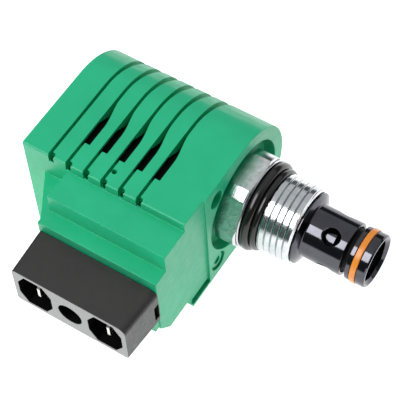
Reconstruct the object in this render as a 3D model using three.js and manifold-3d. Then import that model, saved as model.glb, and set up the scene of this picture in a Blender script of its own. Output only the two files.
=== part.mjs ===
// A solenoid-operated cartridge valve: a screw-in hydraulic cartridge (hex body, thread, black
// ported cage) and the plastic-moulded coil that slides over its armature tube.
// Millimetres. +X runs along the valve axis towards the nose, +Y towards the coil's rounded side,
// -Y towards the electrical connector, +Z up. The coil lies on its flat side.
// Every piece is drawn around the valve axis, with x = 0 at the coil's front face; one group at
// the end moves the whole valve so that its origin is the bottom centre of its bounding box.
import * as THREE from "three";
import { mergeVertices } from "three/addons/utils/BufferGeometryUtils.js";
import Module from "manifold-3d";

const wasm = await Module();
wasm.setup();

// ---------------------------------------------------------------- driving dimensions
const AXIS_HEIGHT = 17.3; // valve axis above the resting face, and radius of the coil's round side
const COIL_LENGTH = 43.15; // coil, rear face to front face
const GAP = 0.3; // clearance kept between touching pieces

const COIL = {
  endY: -22.8, // connector-side end face of the coil's main section
  panelY: -15.6, // the front face steps back from here to the connector side
  panelZ: -16.3, // but for a strip along the resting face
  frontStep: 0.6,
  recessRadius: 13.9,
  recessDepth: 2.8,
  boreRadius: 6.65,
};
const NECK = {
  topZ: 14.9, // shoulder below the main top face
  rearX: -31.1,
  endY: -30.7,
  flangeZ: 9.6, // lower shoulder, at the connector flange
  flangeEndY: -34.6,
  flangeRearX: -31.6,
  flangeFlareX: -38.0,
  bottomZ: -14.0,
};
const SLOT = {
  count: 6,
  firstX: -35.9,
  pitch: 4.64,
  rear: -0.4, // edges on the flats, from the slot's nominal x
  front: 0.33,
  flareRear: -0.6, // edges at the crown of the round side
  flareFront: 1.25,
  depth: 2.2,
  endY: -22.3,
  endRadius: 0.8,
};
const WINDOW = {
  rear: -0.41,
  front: 1.59,
  squareY: -15.8,
  taperStartY: -10.3,
  taperEndY: -1.7,
  floorZ: 13.8,
  skin: 0.7, // wall left where the housing is hollowed out behind the window
  skinEndY: -9.5, // from here the hollow closes up
  hollowEndY: -5.0,
};
const YOKE = { halfHeight: 14.2, thickness: 1.6, yMin: -17.5, yMax: 4.0, rearX: -41.2, frontX: -4.0 };
const CONNECTOR = {
  centreX: -15.7,
  centreZ: 0.8,
  width: 30.0, // along X at the mating face
  height: 12.3,
  frontY: -46.6,
  rearY: -34.9,
  draft: 0.045, // widening of the width per connector length
  cornerRadius: 1.1,
  cavityOffset: 9.3,
  cavityWidth: 8.8,
  cavityHeight: 10.3,
  cavityDepth: 9.5,
  keyHoleRadius: 3.1,
};
const BLADE = { thickness: 0.8, width: 4.8, tipY: -45.4, tailY: -14.2 };
const HEX = { acrossFlats: 22.2, cornerRadius: 12.03, rearX: -1.0, frontX: 5.05, turnDeg: 30 };
const SEAT = { x: 5.3, radius: 11.0, neckRadius: 8.6 };
const THREAD = { majorRadius: 9.5, startX: 9.1, endX: 17.3 };
const CAGE = { radius: 6.5, boreRadius: 4.6, startX: 18.8, endX: 28.7, portX: 24.6, portRadius: 2.1 };
const CAGE_PORT_DEG = 25.8; // clocking of the first of four side ports, from +Y towards +Z
const NOSE = { radius: 6.52, startX: 30.05, endX: 35.0, sealX: 32.0, sealWidth: 1.44, sealRadius: 6.68 };
const TUBE = { outer: 6.35, inner: 5.65, frontX: 1.3, rearX: -41.0 };
const POLE = { faceX: -27.0, flangeX: -42.7, endX: -47.9, studRadius: 4.9 };
const NUT = { acrossFlats: 15.0, frontX: -43.65, rearX: -46.9 };
const ARMATURE = { radius: 5.35, rearX: -24.7, frontX: -4.4 };
const PIN_RADIUS = 1.35;
const FINE = 40; // segments of a large visible circle
const COARSE = 24; // segments of an inner circle

// ---------------------------------------------------------------- solids and booleans
function solidOf(geometry) {
  const bare = new THREE.BufferGeometry();
  bare.setAttribute("position", geometry.getAttribute("position"));
  if (geometry.index) bare.setIndex(geometry.index);
  const merged = mergeVertices(bare, 1e-4);
  const vertProperties = merged.attributes.position.array;
  const triVerts = new Uint32Array(merged.index.array);
  const made = new wasm.Manifold(new wasm.Mesh({ numProp: 3, vertProperties, triVerts }));
  if (made.volume() > 0) return made;
  // The outline ran the other way round: turn every face over.
  for (let i = 0; i < triVerts.length; i += 3) {
    [triVerts[i + 1], triVerts[i + 2]] = [triVerts[i + 2], triVerts[i + 1]];
  }
  return new wasm.Manifold(new wasm.Mesh({ numProp: 3, vertProperties, triVerts }));
}

function geometryOf(solid) {
  const { vertProperties, triVerts, numProp } = solid.getMesh();
  const position = new Float32Array((vertProperties.length / numProp) * 3);
  for (let i = 0; i * 3 < position.length; i++) {
    position.set(vertProperties.subarray(i * numProp, i * numProp + 3), i * 3);
  }
  const geometry = new THREE.BufferGeometry();
  geometry.setAttribute("position", new THREE.BufferAttribute(position, 3));
  geometry.setIndex(new THREE.BufferAttribute(new Uint32Array(triVerts), 1));
  geometry.computeVertexNormals();
  return geometry;
}

function box(x0, x1, y0, y1, z0, z1) {
  const geometry = new THREE.BoxGeometry(x1 - x0, y1 - y0, z1 - z0);
  return solidOf(geometry.translate((x0 + x1) / 2, (y0 + y1) / 2, (z0 + z1) / 2));
}

// A solid of revolution about the X axis. The profile is a closed ring of [radius, x] points.
function turned(profile, segments = COARSE) {
  const points = profile.map(([radius, x]) => new THREE.Vector2(radius, x));
  points.push(points[0].clone());
  const geometry = new THREE.LatheGeometry(points, segments);
  return solidOf(geometry.rotateZ(-Math.PI / 2));
}

// A plain solid shaft about the X axis, from x0 to x1.
const shaft = (radius, x0, x1, segments = COARSE) =>
  solidOf(new THREE.CylinderGeometry(radius, radius, x1 - x0, segments)
    .rotateZ(-Math.PI / 2)
    .translate((x0 + x1) / 2, 0, 0));

const PLANES = {
  alongX: [new THREE.Vector3(0, 1, 0), new THREE.Vector3(0, 0, 1), new THREE.Vector3(1, 0, 0)],
  alongY: [new THREE.Vector3(1, 0, 0), new THREE.Vector3(0, 0, 1), new THREE.Vector3(0, -1, 0)],
  alongZ: [new THREE.Vector3(1, 0, 0), new THREE.Vector3(0, 1, 0), new THREE.Vector3(0, 0, 1)],
};

// An outline swept along one axis: (y, z) along +X, (x, z) along -Y, or (x, y) along +Z.
function prism(shape, plane, start, length, curveSegments = 16) {
  const geometry = new THREE.ExtrudeGeometry(shape, { depth: length, bevelEnabled: false, curveSegments });
  const axes = PLANES[plane];
  geometry.applyMatrix4(new THREE.Matrix4().makeBasis(...axes));
  const shift = axes[2].clone().multiplyScalar(plane === "alongY" ? -start : start);
  return solidOf(geometry.translate(shift.x, shift.y, shift.z));
}

function polygon(points) {
  return new THREE.Shape(points.map(([a, b]) => new THREE.Vector2(a, b)));
}

function ring(centreRadius, sectionRadius, x, segments = FINE) {
  const section = new THREE.Path().absarc(centreRadius, x, sectionRadius, 0, 2 * Math.PI);
  const points = section.getPoints(4).slice(0, -1);
  return turned(points.map((p) => [p.x, p.y]), segments);
}

function hexPrism(acrossFlats, x0, x1, turnDeg) {
  const corner = acrossFlats / Math.sqrt(3);
  const hexagon = new THREE.CylinderGeometry(corner, corner, x1 - x0, 6).rotateZ(-Math.PI / 2);
  return solidOf(hexagon.rotateX(THREE.MathUtils.degToRad(turnDeg)).translate((x0 + x1) / 2, 0, 0));
}

function unite(...solids) {
  return solids.reduce((whole, piece) => whole.add(piece));
}

function cut(body, ...tools) {
  return tools.reduce((rest, tool) => rest.subtract(tool), body);
}

// ---------------------------------------------------------------- coil housing
// The main section in the (y, z) plane: half round on +Y, flat above and below.
function coilSection(inset = 0) {
  const radius = AXIS_HEIGHT - inset;
  const shape = new THREE.Shape();
  shape.moveTo(COIL.endY, -radius);
  shape.lineTo(0, -radius);
  shape.absarc(0, 0, radius, -Math.PI / 2, Math.PI / 2, false);
  shape.lineTo(COIL.endY + 0.5, radius);
  shape.lineTo(COIL.endY, radius - 0.5);
  return shape;
}

function connectorNeck() {
  const shoulder = box(NECK.rearX, 0, NECK.endY, COIL.endY + 1, NECK.bottomZ, NECK.topZ);
  const plan = polygon([
    [0, COIL.endY + 1],
    [NECK.flangeFlareX, COIL.endY + 1],
    [NECK.flangeFlareX, COIL.endY],
    [NECK.flangeRearX, NECK.flangeEndY + 1],
    [NECK.flangeRearX, NECK.flangeEndY],
    [0, NECK.flangeEndY],
  ]);
  const flange = prism(plan, "alongZ", NECK.bottomZ, NECK.flangeZ - NECK.bottomZ);
  const relief = polygon([
    [NECK.flangeEndY - 1, NECK.bottomZ - 1],
    [NECK.flangeEndY + 3.2, NECK.bottomZ - 1],
    [NECK.flangeEndY + 3.2, NECK.bottomZ],
    [NECK.flangeEndY, NECK.bottomZ + 4.2],
    [NECK.flangeEndY - 1, NECK.bottomZ + 4.2],
  ]);
  const lip = box(NECK.flangeRearX, -0.6, NECK.flangeEndY - 1.9, NECK.flangeEndY + 1, -9.0, -5.95);
  return unite(cut(unite(shoulder, flange), prism(relief, "alongX", -45, 50)), lip);
}

// One vent slot round the top, the round side and the underside, flaring on the round side.
function ventSlot(x) {
  const { rear, front, flareRear, flareFront, endY, endRadius, depth } = SLOT;
  const plan = polygon([
    [x + front, endY], [x + front, 4], [x + 0.7, 8.3], [x + flareFront, 13], [x + flareFront, 19],
    [x + flareRear, 19], [x + flareRear, 13], [x + rear, 8.3], [x + rear, endY],
  ]);
  const through = prism(plan, "alongZ", -AXIS_HEIGHT - 2, 2 * AXIS_HEIGHT + 4);
  const inner = prism(coilSection(depth), "alongX", x - 2, 4, 16);
  const shallow = new THREE.CylinderGeometry(endRadius, endRadius, 4.4, 12).rotateX(Math.PI / 2);
  const deep = new THREE.CylinderGeometry(endRadius, endRadius, 6, 12).rotateX(Math.PI / 2);
  return unite(
    through.subtract(inner),
    solidOf(shallow.translate(x + 0.5, endY, AXIS_HEIGHT)),
    solidOf(deep.translate(x + 0.5, endY + 0.6, 14.5)),
  );
}

// A slot widens forward into a window: square at the connector end, easing back at the other.
function ventWindow(x, zLow, zHigh) {
  const { rear, front, squareY, taperStartY, taperEndY } = WINDOW;
  const points = [[x + rear, squareY], [x + front, squareY]];
  const steps = 6;
  for (let i = 0; i <= steps; i++) {
    const y = THREE.MathUtils.lerp(taperStartY, taperEndY, i / steps);
    const ease = (1 + Math.cos((Math.PI * i) / steps)) / 2;
    points.push([x + SLOT.front + (front - SLOT.front) * ease, y]);
  }
  points.push([x + rear, taperEndY]);
  return prism(polygon(points), "alongZ", zLow, zHigh - zLow);
}

// Behind a window the housing is hollowed out to a thin skin, which thickens towards the round side.
function windowHollow(x) {
  const top = AXIS_HEIGHT - WINDOW.skin;
  const section = polygon([[-16, 14], [WINDOW.hollowEndY, 14], [WINDOW.skinEndY, top], [-16, top]]);
  const hollow = prism(section, "alongX", x - 1.3, 3.2);
  return unite(hollow, hollow.mirror([0, 0, 1]));
}

function bladePassage(x) {
  const halfT = BLADE.thickness / 2 + GAP;
  const halfW = BLADE.width / 2 + GAP;
  return box(x - halfT, x + halfT, CONNECTOR.frontY, -16, -halfW, halfW);
}

const bladeXs = [-1, 1].map((side) => CONNECTOR.centreX + side * CONNECTOR.cavityOffset);

// A shallow round pocket in the front face, centred at (y, z).
const frontPocket = (y, z, radius, depth) => shaft(radius, -depth, 2, 24).translate([0, y, z]);

function coilHousing() {
  const main = prism(coilSection(), "alongX", -COIL_LENGTH, COIL_LENGTH, 16);
  const low = box(-1, 1, -60, COIL.panelY, COIL.panelZ, 30).translate([1 - COIL.frontStep / 2, 0, 0]);
  const raised = prism(coilSection(), "alongX", -1, 1 + COIL.frontStep / 2, 16);
  let body = cut(unite(main, raised, connectorNeck()), low);
  const edgeGroove = box(-1.6, 1, -22.2, COIL.panelY + 0.1, COIL.panelZ, COIL.panelZ + 0.9);
  const dimple = new THREE.CylinderGeometry(0.6, 0.6, 3.2, 16).rotateX(Math.PI / 2);
  const recess = shaft(COIL.recessRadius, -COIL.recessDepth, 2, FINE);
  const rearSink = shaft(8.6, -COIL_LENGTH - 1, -COIL_LENGTH + 1.25, COARSE);
  const bore = shaft(COIL.boreRadius, -COIL_LENGTH - 1, 2, COARSE);
  const yokeRoom = box(
    YOKE.rearX - GAP, YOKE.frontX + GAP, YOKE.yMin - GAP, YOKE.yMax + GAP,
    -YOKE.halfHeight - GAP, YOKE.halfHeight + GAP,
  );
  const windingRoom = shaft(12.75, YOKE.rearX + 1, YOKE.frontX - 1, FINE);
  body = cut(
    body, edgeGroove, recess, rearSink, bore, yokeRoom, windingRoom,
    frontPocket(-10.9, 12.3, 2.3, 3.0), frontPocket(-11.6, -12.6, 2.6, 0.9),
    ...bladeXs.map(bladePassage),
    solidOf(dimple.translate(-21.2, -18.9, AXIS_HEIGHT - 1.3)),
  );
  const pocketRib = box(-3.1, -1, -12.9, -8.9, 12, 12.6);
  const pocketBoss = cut(shaft(2.05, -1, -0.1, 24), shaft(1.1, -0.6, 1, 20))
    .translate([0, -11.6, -12.6]);
  body = unite(body, pocketRib, pocketBoss);
  for (let i = 0; i < SLOT.count; i++) {
    const x = SLOT.firstX + i * SLOT.pitch;
    body = body.subtract(ventSlot(x));
    if (i === 0) continue;
    body = cut(
      body,
      ventWindow(x, WINDOW.floorZ, AXIS_HEIGHT + 1),
      ventWindow(x, -AXIS_HEIGHT - 1, -WINDOW.floorZ),
      windowHollow(x),
    );
  }
  return body;
}

// ---------------------------------------------------------------- coil contents
const WINDING = { inner: 8.0, outer: 12.3, rearX: -38.0, frontX: -7.2 };

function winding() {
  const { inner, outer, rearX, frontX } = WINDING;
  return turned([[inner, rearX], [outer, rearX], [outer, frontX], [inner, frontX]], FINE);
}

function bobbin() {
  const { inner, outer, rearX, frontX } = WINDING;
  const flange = 1.2;
  return turned([
    [COIL.boreRadius + 0.05, rearX - flange],
    [outer, rearX - flange],
    [outer, rearX - GAP],
    [inner - GAP, rearX - GAP],
    [inner - GAP, frontX + GAP],
    [outer, frontX + GAP],
    [outer, frontX + flange],
    [COIL.boreRadius + 0.05, frontX + flange],
  ], FINE);
}

// A steel strap bent into a closed loop round the bobbin, bored front and rear for the tube.
function yoke() {
  const { halfHeight, thickness, yMin, yMax, rearX, frontX } = YOKE;
  const outside = box(rearX, frontX, yMin, yMax, -halfHeight, halfHeight);
  const inside = box(
    rearX + thickness, frontX - thickness, yMin - 1, yMax + 1,
    thickness - halfHeight, halfHeight - thickness,
  );
  return cut(outside, inside, shaft(COIL.boreRadius + 0.05, rearX - 1, frontX + 1));
}

// ---------------------------------------------------------------- connector
function roundedRectangle(cx, cz, width, height, radius) {
  const shape = new THREE.Shape();
  const x = width / 2 - radius;
  const z = height / 2 - radius;
  shape.absarc(cx + x, cz + z, radius, 0, Math.PI / 2, false);
  shape.absarc(cx - x, cz + z, radius, Math.PI / 2, Math.PI, false);
  shape.absarc(cx - x, cz - z, radius, Math.PI, 1.5 * Math.PI, false);
  shape.absarc(cx + x, cz - z, radius, 1.5 * Math.PI, 2 * Math.PI, false);
  return shape;
}

function octagon(cx, cz, width, height) {
  const w = width / 2;
  const h = height / 2;
  const cutX = 2.0;
  const cutZ = 3.1;
  return polygon([
    [cx - w + cutX, cz - h], [cx + w - cutX, cz - h], [cx + w, cz - h + cutZ],
    [cx + w, cz + h - cutZ], [cx + w - cutX, cz + h], [cx - w + cutX, cz + h],
    [cx - w, cz + h - cutZ], [cx - w, cz - h + cutZ],
  ]);
}

function connectorBody() {
  const c = CONNECTOR;
  const length = c.rearY - c.frontY;
  const outline = roundedRectangle(c.centreX, c.centreZ, c.width, c.height, c.cornerRadius);
  const shell = prism(outline, "alongY", c.rearY, length, 4).warp((v) => {
    v[0] += (v[0] - c.centreX) * c.draft * ((v[1] - c.frontY) / length);
  });
  const cavities = bladeXs.map((x) =>
    prism(octagon(x, c.centreZ, c.cavityWidth, c.cavityHeight), "alongY", c.frontY + c.cavityDepth,
      c.cavityDepth + 1));
  const keyHole = new THREE.CylinderGeometry(c.keyHoleRadius, c.keyHoleRadius, 9, 28);
  keyHole.translate(c.centreX, c.frontY + 3.5, c.centreZ - 0.2);
  const latchX = c.centreX + c.width / 2;
  const latches = [
    box(latchX - 1.0, latchX + 3, c.rearY + 0.3 - 1.9, c.rearY - 0.1, -3.1, 2.1),
    box(2 * c.centreX - latchX - 3, 2 * c.centreX - latchX + 1.0, c.rearY - 1.6, c.rearY - 0.1, -3.1, 2.1),
  ];
  return cut(shell, ...cavities, solidOf(keyHole), ...latches, ...bladeXs.map(bladePassage));
}

function blade(x) {
  const half = BLADE.thickness / 2;
  const body = box(x - half, x + half, BLADE.tipY, BLADE.tailY, -BLADE.width / 2, BLADE.width / 2);
  const hole = new THREE.CylinderGeometry(0.6, 0.6, 3, 12).rotateZ(Math.PI / 2);
  return body.subtract(solidOf(hole.translate(x, BLADE.tipY + 3.2, 0)));
}

// ---------------------------------------------------------------- cartridge body
function hexAdapter() {
  const { rearX, frontX, cornerRadius } = HEX;
  const turnedHex = turned([
    [0, rearX], [cornerRadius - 1, rearX], [cornerRadius, rearX + 1.1],
    [cornerRadius, frontX - 0.3], [cornerRadius - 0.5, frontX], [0, frontX],
  ], FINE);
  const hex = turnedHex.intersect(hexPrism(HEX.acrossFlats, rearX - 1, frontX + 1, HEX.turnDeg));
  const stem = turned([
    [0, frontX - 0.4], [SEAT.radius, frontX - 0.4], [SEAT.radius, SEAT.x], [SEAT.neckRadius, SEAT.x],
    [SEAT.neckRadius, THREAD.startX], [THREAD.majorRadius - 0.4, THREAD.startX],
    [THREAD.majorRadius, THREAD.startX + 0.4], [THREAD.majorRadius, THREAD.endX - 0.4],
    [THREAD.majorRadius - 0.6, THREAD.endX], [0, THREAD.endX],
  ], FINE);
  const tubeSocket = shaft(TUBE.outer + 0.15, HEX.rearX - 1, TUBE.frontX + 0.2);
  const pinBore = shaft(2.2, HEX.rearX, THREAD.endX + 1);
  const cageSocket = shaft(7.3, 10.3, THREAD.endX + 1);
  return cut(unite(hex, stem), tubeSocket, pinBore, cageSocket);
}

function armatureTube() {
  const { outer, inner, frontX, rearX } = TUBE;
  return turned([[inner, rearX], [outer, rearX], [outer, frontX], [inner, frontX]], FINE);
}

function polePiece() {
  const flangeFront = TUBE.rearX - GAP;
  return turned([
    [0, POLE.endX], [POLE.studRadius - 0.6, POLE.endX], [POLE.studRadius, POLE.endX + 0.6],
    [POLE.studRadius, POLE.flangeX], [TUBE.outer, POLE.flangeX], [TUBE.outer, flangeFront],
    [TUBE.inner - GAP, flangeFront], [TUBE.inner - GAP, POLE.faceX],
    [2.3, POLE.faceX], [2.3, POLE.faceX - 3.4], [0, POLE.faceX - 3.4],
  ]);
}

function coilNut() {
  const corner = NUT.acrossFlats / Math.sqrt(3);
  const facing = turned([
    [0, NUT.rearX], [corner - 1.1, NUT.rearX], [corner + 0.1, NUT.rearX + 0.7],
    [corner + 0.1, NUT.frontX - 0.4], [corner - 0.4, NUT.frontX], [0, NUT.frontX],
  ]);
  const hex = facing.intersect(hexPrism(NUT.acrossFlats, NUT.rearX - 1, NUT.frontX + 1, 0));
  return hex.subtract(shaft(POLE.studRadius + 0.15, NUT.rearX - 2, NUT.frontX + 2));
}

// ---------------------------------------------------------------- cage, seat and seals
function cage() {
  const body = turned([
    [CAGE.boreRadius, 10.6], [7.0, 10.6], [7.0, THREAD.endX + GAP], [8.75, THREAD.endX + GAP],
    [8.75, 17.9], [7.4, 18.5], [CAGE.radius, CAGE.startX], [CAGE.radius, CAGE.endX - 0.2],
    [CAGE.radius - 0.2, CAGE.endX], [5.7, CAGE.endX], [5.7, 26.4], [CAGE.boreRadius, 26.4],
  ], FINE);
  const drill = new THREE.CylinderGeometry(CAGE.portRadius, CAGE.portRadius, 6, 20);
  const sink = new THREE.CylinderGeometry(CAGE.portRadius + 0.5, CAGE.portRadius - 0.1, 0.9, 20);
  const port = unite(solidOf(drill.translate(0, 6, 0)), solidOf(sink.translate(0, CAGE.radius + 0.1, 0)));
  const ports = [0, 1, 2, 3].map((i) =>
    port.rotate([CAGE_PORT_DEG + 90 * i, 0, 0]).translate([CAGE.portX, 0, 0]));
  return cut(body, ...ports);
}

function seatPiece() {
  const r = NOSE.radius;
  const grooveRadius = 5.5;
  const half = NOSE.sealWidth / 2 + 0.13;
  return turned([
    [3.2, 26.8], [5.4, 26.8], [5.4, 28.7], [4.9, 28.7], [4.9, NOSE.startX], [r - 0.25, NOSE.startX],
    [r, NOSE.startX + 0.25], [r, NOSE.sealX - half], [grooveRadius, NOSE.sealX - half],
    [grooveRadius, NOSE.sealX + half], [r, NOSE.sealX + half], [r, NOSE.endX - 0.38],
    [r - 0.3, NOSE.endX], [5.75, NOSE.endX], [5.0, NOSE.endX - 0.7], [4.95, 31.4], [3.2, 30.0],
  ], FINE);
}

function noseSealRing() {
  const { sealX, sealWidth, sealRadius } = NOSE;
  return turned([
    [5.6, sealX - sealWidth / 2], [sealRadius - 0.15, sealX - sealWidth / 2],
    [sealRadius, sealX - sealWidth / 2 + 0.15], [sealRadius, sealX + sealWidth / 2 - 0.15],
    [sealRadius - 0.15, sealX + sealWidth / 2], [5.6, sealX + sealWidth / 2],
  ], FINE);
}

function springRetainer() {
  return turned([[1.9, 10.9], [4.3, 10.9], [4.3, 11.9], [1.9, 11.9]]);
}

function poppet() {
  return turned([
    [PIN_RADIUS + GAP, 19.6], [2.95, 19.6], [2.95, 15.0], [4.3, 15.0], [4.3, 25.2],
    [2.6, 27.5], [0, 27.5], [0, 24.7], [PIN_RADIUS + GAP, 24.7],
  ]);
}

// ---------------------------------------------------------------- armature and springs
function armature() {
  const { radius, rearX, frontX } = ARMATURE;
  return turned([
    [0, rearX + 8], [2.3, rearX + 8], [2.3, rearX], [radius - 0.3, rearX], [radius, rearX + 0.3],
    [radius, frontX - 0.3], [radius - 0.3, frontX], [PIN_RADIUS + 0.3, frontX],
    [PIN_RADIUS + 0.3, frontX - 5.2], [0, frontX - 5.2],
  ]);
}

// A closed-coil helix of round wire along X, from x0 to x1.
function helicalSpring(meanRadius, wireRadius, x0, x1, turns) {
  class Helix extends THREE.Curve {
    getPoint(t, target = new THREE.Vector3()) {
      const angle = 2 * Math.PI * turns * t;
      const x = THREE.MathUtils.lerp(x0 + wireRadius, x1 - wireRadius, t);
      return target.set(x, meanRadius * Math.cos(angle), meanRadius * Math.sin(angle));
    }
  }
  const wire = new THREE.Shape().absarc(0, 0, wireRadius, 0, 2 * Math.PI, false);
  const options = { extrudePath: new Helix(), steps: turns * 10, curveSegments: 3, bevelEnabled: false };
  return solidOf(new THREE.ExtrudeGeometry(wire, options));
}

// ---------------------------------------------------------------- materials
const finish = (color, roughness, metalness) =>
  new THREE.MeshStandardMaterial({ color, roughness, metalness });

const FINISHES = {
  green_plastic: () => finish(0x1f9f6c, 0.5, 0),
  black_plastic: () => finish(0x2a2828, 0.55, 0),
  bobbin_plastic: () => finish(0x4a4038, 0.6, 0),
  copper_winding: () => finish(0x6b3a20, 0.45, 0.6),
  dark_steel: () => finish(0x2c2622, 0.5, 0.8),
  tinned_brass: () => finish(0xd8d4c8, 0.3, 1),
  zinc_plated_steel: () => finish(0xc9cdd0, 0.35, 1),
  stainless_steel: () => finish(0xb9babd, 0.3, 1),
  black_oxide_steel: () => finish(0x1b1b1e, 0.3, 0.8),
  black_rubber: () => finish(0x151414, 0.6, 0),
  orange_seal: () => finish(0xe8842a, 0.5, 0),
  spring_steel: () => finish(0x9a9da0, 0.3, 1),
};

// ---------------------------------------------------------------- assembly
const valve = new THREE.Group();

function place(name, material, solid) {
  const mesh = new THREE.Mesh(geometryOf(solid), FINISHES[material]());
  mesh.name = name;
  valve.add(mesh);
}

place("coil_housing", "green_plastic", coilHousing());
place("winding", "copper_winding", winding());
place("bobbin", "bobbin_plastic", bobbin());
place("yoke", "dark_steel", yoke());
place("connector_body", "black_plastic", connectorBody());
bladeXs.forEach((x, i) => place(`terminal_blade_${i + 1}`, "tinned_brass", blade(x)));
place("coil_seal_ring", "black_rubber", ring(8.2, 0.72, -1.9));
place("hex_adapter", "zinc_plated_steel", hexAdapter());
place("port_o_ring", "black_rubber", ring(9.95, 1.07, 6.45));
place("port_backup_ring", "black_rubber", ring(9.45, 0.74, 8.3));
place("armature_tube", "stainless_steel", armatureTube());
place("pole_piece", "stainless_steel", polePiece());
place("coil_nut", "zinc_plated_steel", coilNut());
place("nut_seal_ring", "black_rubber", ring(7.4, 0.75, NUT.frontX + 0.85));
place("armature", "stainless_steel", armature());
place("push_pin", "stainless_steel", shaft(PIN_RADIUS, ARMATURE.frontX - 4.9, 24.2, 20));
place("armature_spring", "spring_steel", helicalSpring(1.7, 0.32, POLE.faceX - 3.2, -16.9, 8));
place("cage", "black_oxide_steel", cage());
place("spring_retainer", "stainless_steel", springRetainer());
place("poppet", "black_oxide_steel", poppet());
place("poppet_spring", "spring_steel", helicalSpring(2.35, 0.3, 12.1, 19.4, 5));
place("seat_piece", "black_oxide_steel", seatPiece());
place("nose_seal_ring", "orange_seal", noseSealRing());

// The origin moves to the bottom centre of the bounding box.
const bounds = new THREE.Box3().setFromObject(valve, true);
const centre = bounds.getCenter(new THREE.Vector3());
valve.position.set(-centre.x, -centre.y, -bounds.min.z);

const part = new THREE.Group();
part.add(valve);

export default part;
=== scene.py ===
import math

import bmesh
import bpy
from mathutils import Matrix, Vector


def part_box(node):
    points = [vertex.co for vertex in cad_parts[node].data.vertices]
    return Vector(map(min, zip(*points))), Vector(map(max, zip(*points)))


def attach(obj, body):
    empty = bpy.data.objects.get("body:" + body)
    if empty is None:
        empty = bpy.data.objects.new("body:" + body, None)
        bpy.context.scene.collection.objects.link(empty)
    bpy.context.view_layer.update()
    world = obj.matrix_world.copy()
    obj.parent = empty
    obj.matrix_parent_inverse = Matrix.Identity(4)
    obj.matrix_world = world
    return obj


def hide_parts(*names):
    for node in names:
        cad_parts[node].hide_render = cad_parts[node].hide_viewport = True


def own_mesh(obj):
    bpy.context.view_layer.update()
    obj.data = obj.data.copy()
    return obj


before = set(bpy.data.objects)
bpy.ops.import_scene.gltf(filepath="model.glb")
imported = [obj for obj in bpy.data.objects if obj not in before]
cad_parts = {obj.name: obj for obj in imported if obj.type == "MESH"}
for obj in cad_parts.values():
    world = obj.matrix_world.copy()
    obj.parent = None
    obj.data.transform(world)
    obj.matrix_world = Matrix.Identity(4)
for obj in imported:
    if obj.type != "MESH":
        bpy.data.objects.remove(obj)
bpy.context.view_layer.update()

# ------------------------------------------------------------------ frame of the work
# Shapes are drawn in millimetres about the valve axis, with x = 0 at the coil's front face, and
# moved into the CAD frame at the end. The armature tube gives the axis and the front face.
MM = 0.001
TUBE_LOW, TUBE_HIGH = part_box("armature_tube")
TUBE_FRONT = 1.3
ORIGIN = Vector((
    TUBE_HIGH.x - TUBE_FRONT * MM,
    (TUBE_LOW.y + TUBE_HIGH.y) / 2,
    (TUBE_LOW.z + TUBE_HIGH.z) / 2,
))
TO_ROW = Matrix.Translation(ORIGIN) @ Matrix.Scale(MM, 4)
TAU = 2 * math.pi

# How finely shapes are made, in millimetres unless it says otherwise.
MERGE = 0.004  # points closer than this after a boolean are one point
SLIVER = 0.0005  # edges shorter than this are taken out before shading
ON_AXIS = 1e-6  # a lathe point closer than this lies on the axis
POLE_MERGE = 1e-5  # closes a lathed body where it meets the axis
SHARE_OF_EDGE = 0.48  # the most of an edge that the fillet at one end may take
LATHE_FILLET_STEPS = 4
PAST_TOP, PAST_FRONT, PAST_REAR = 20, 2, -45  # where the tools end, clear of the housing


# ------------------------------------------------------------------ mesh helpers
def object_of(name, bm):
    mesh = bpy.data.meshes.new(name)
    bm.to_mesh(mesh)
    bm.free()
    obj = bpy.data.objects.new(name, mesh)
    bpy.context.collection.objects.link(obj)
    return obj


def evaluated_mesh(obj):
    graph = bpy.context.evaluated_depsgraph_get()
    return bpy.data.meshes.new_from_object(obj.evaluated_get(graph), depsgraph=graph)


def apply_modifiers(obj):
    mesh = evaluated_mesh(obj)
    obj.modifiers.clear()
    old = obj.data
    obj.data = mesh
    bpy.data.meshes.remove(old)
    return obj


def boolean(target, tools, operation="DIFFERENCE"):
    """Each tool is added to or cut from the target, and then removed."""
    for tool in tools:
        modifier = target.modifiers.new("boolean", "BOOLEAN")
        modifier.solver = "EXACT"
        modifier.operation = operation
        modifier.object = tool
    apply_modifiers(target)
    for tool in tools:
        bpy.data.objects.remove(tool)
    return target


def clean(obj, flat=0.5):
    """Merges doubled points and dissolves the edges that booleans leave in flat faces."""
    bm = bmesh.new()
    bm.from_mesh(obj.data)
    bmesh.ops.remove_doubles(bm, verts=bm.verts, dist=MERGE)
    bmesh.ops.dissolve_limit(
        bm, angle_limit=math.radians(flat), verts=bm.verts, edges=bm.edges, delimit={"NORMAL"},
    )
    bm.to_mesh(obj.data)
    bm.free()
    return obj


def bevel(obj, width, segments=2, angle=28):
    modifier = obj.modifiers.new("bevel", "BEVEL")
    modifier.width = width
    modifier.segments = segments
    modifier.limit_method = "ANGLE"
    modifier.angle_limit = math.radians(angle)
    modifier.use_clamp_overlap = False
    modifier.miter_outer = "MITER_ARC"
    return apply_modifiers(obj)


def even_shading(obj):
    """Takes normals from the larger faces, so that the narrow bevels do not bend the flats. The
    threshold is small because it is compared with face areas in square millimetres."""
    bm = bmesh.new()
    bm.from_mesh(obj.data)
    bmesh.ops.dissolve_degenerate(bm, dist=SLIVER, edges=bm.edges)
    bmesh.ops.triangulate(bm, faces=[f for f in bm.faces if len(f.verts) > 4])
    bmesh.ops.dissolve_degenerate(bm, dist=SLIVER, edges=bm.edges)
    bm.to_mesh(obj.data)
    bm.free()
    modifier = obj.modifiers.new("even_shading", "WEIGHTED_NORMAL")
    modifier.keep_sharp = True
    modifier.weight = 80
    modifier.thresh = 0.0001
    return apply_modifiers(obj)


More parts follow.
